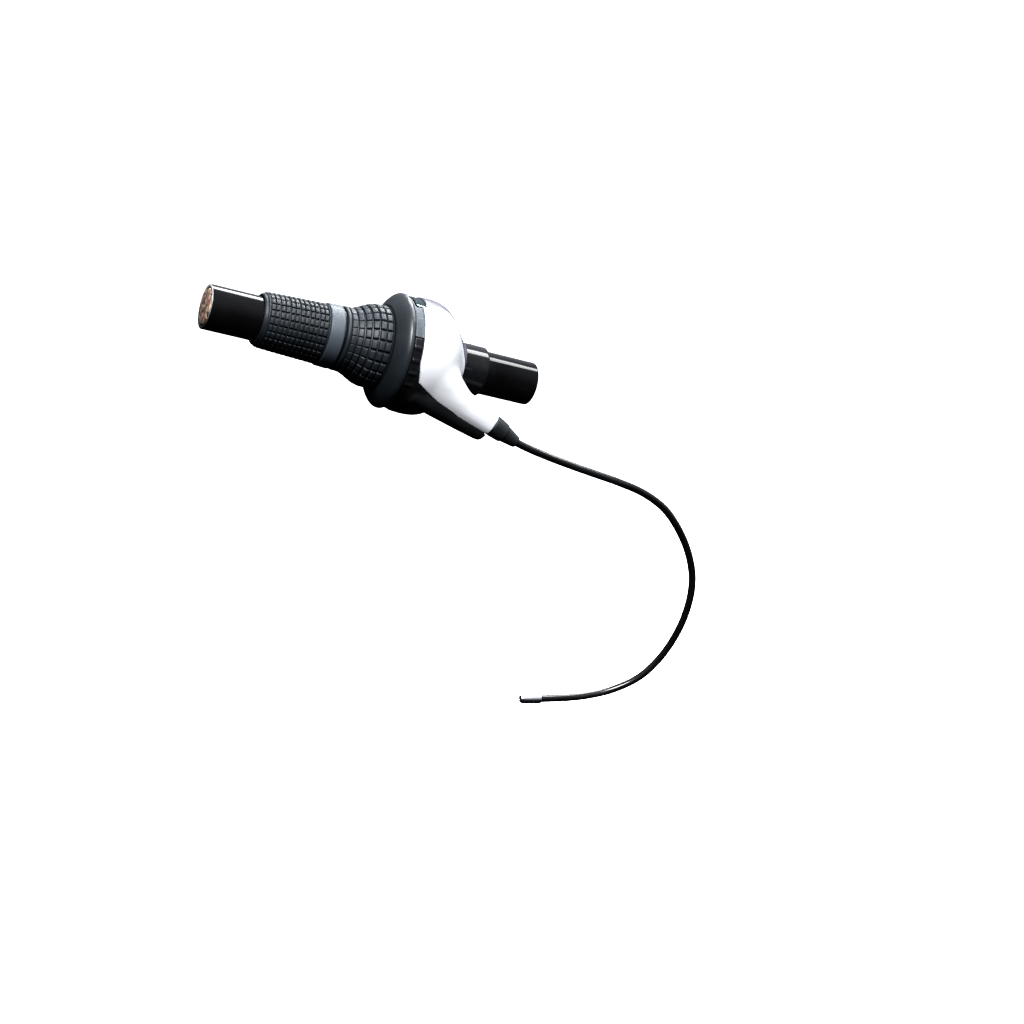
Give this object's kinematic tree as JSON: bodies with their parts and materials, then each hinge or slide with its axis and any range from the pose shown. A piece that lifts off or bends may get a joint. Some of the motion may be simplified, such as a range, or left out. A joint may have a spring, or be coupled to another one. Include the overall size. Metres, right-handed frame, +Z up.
{
  "type": "bicycle bar end grip with twist shifter",
  "caption": "Handlebar end with a short fixed rubber grip, a rubber twist grip and the gear shifter housing, whose shift cable leaves through a boot at the front.",
  "frame": {"origin": "centre of the handlebar stub's cut inboard face, on the bar's axis", "axes": "+X inboard along the bar, -Y to the front of the bicycle, +Z up"},
  "size_m": [0.3042, 0.0601, 0.2027],
  "materials": {
    "bar_black": "gloss",
    "plug_composite": "rough",
    "grip_rubber": "matt",
    "dark_plastic": "satin",
    "inner_plastic": "satin",
    "cover_silver": "satin silver",
    "window_clear": "smoked",
    "needle_orange": "satin",
    "steel": "bright",
    "brass": "bright",
    "casing_black": "semi gloss"
  },
  "bodies": {
    "bar_end": {"handlebar_tube": "bar_black", "bar_end_plug": "plug_composite", "fixed_grip_sleeve": "grip_rubber", "grip_spacer_washer": "dark_plastic", "detent_spring": "steel", "hub_washer": "inner_plastic", "shift_wire_lead": "steel", "wire_guide": "inner_plastic", "housing_base": "dark_plastic", "housing_cover": "cover_silver", "indicator_window": "window_clear", "indicator_scale": "inner_plastic", "cover_screw_rear": "steel", "cover_screw_top": "steel", "clamp_screw": "steel", "clamp_nut": "steel", "casing_cap_nose": "brass", "cable_boot": "grip_rubber", "cable_casing": "casing_black", "casing_cap_end": "steel"},
    "twist_grip": {"twist_grip_rubber": "grip_rubber", "twist_grip_tube": "dark_plastic", "cable_drum": "inner_plastic", "detent_ring": "dark_plastic", "shift_wire_end": "steel", "indicator_needle": "needle_orange"}
  },
  "joints": [
    {"name": "twist", "type": "hinge", "parent": "bar_end", "child": "twist_grip", "pos_m": [-0.085, 0, 0], "axis": [-1, 0, 0], "range_deg": [0, 60], "deforming": ["detent_spring"]}
  ]
}
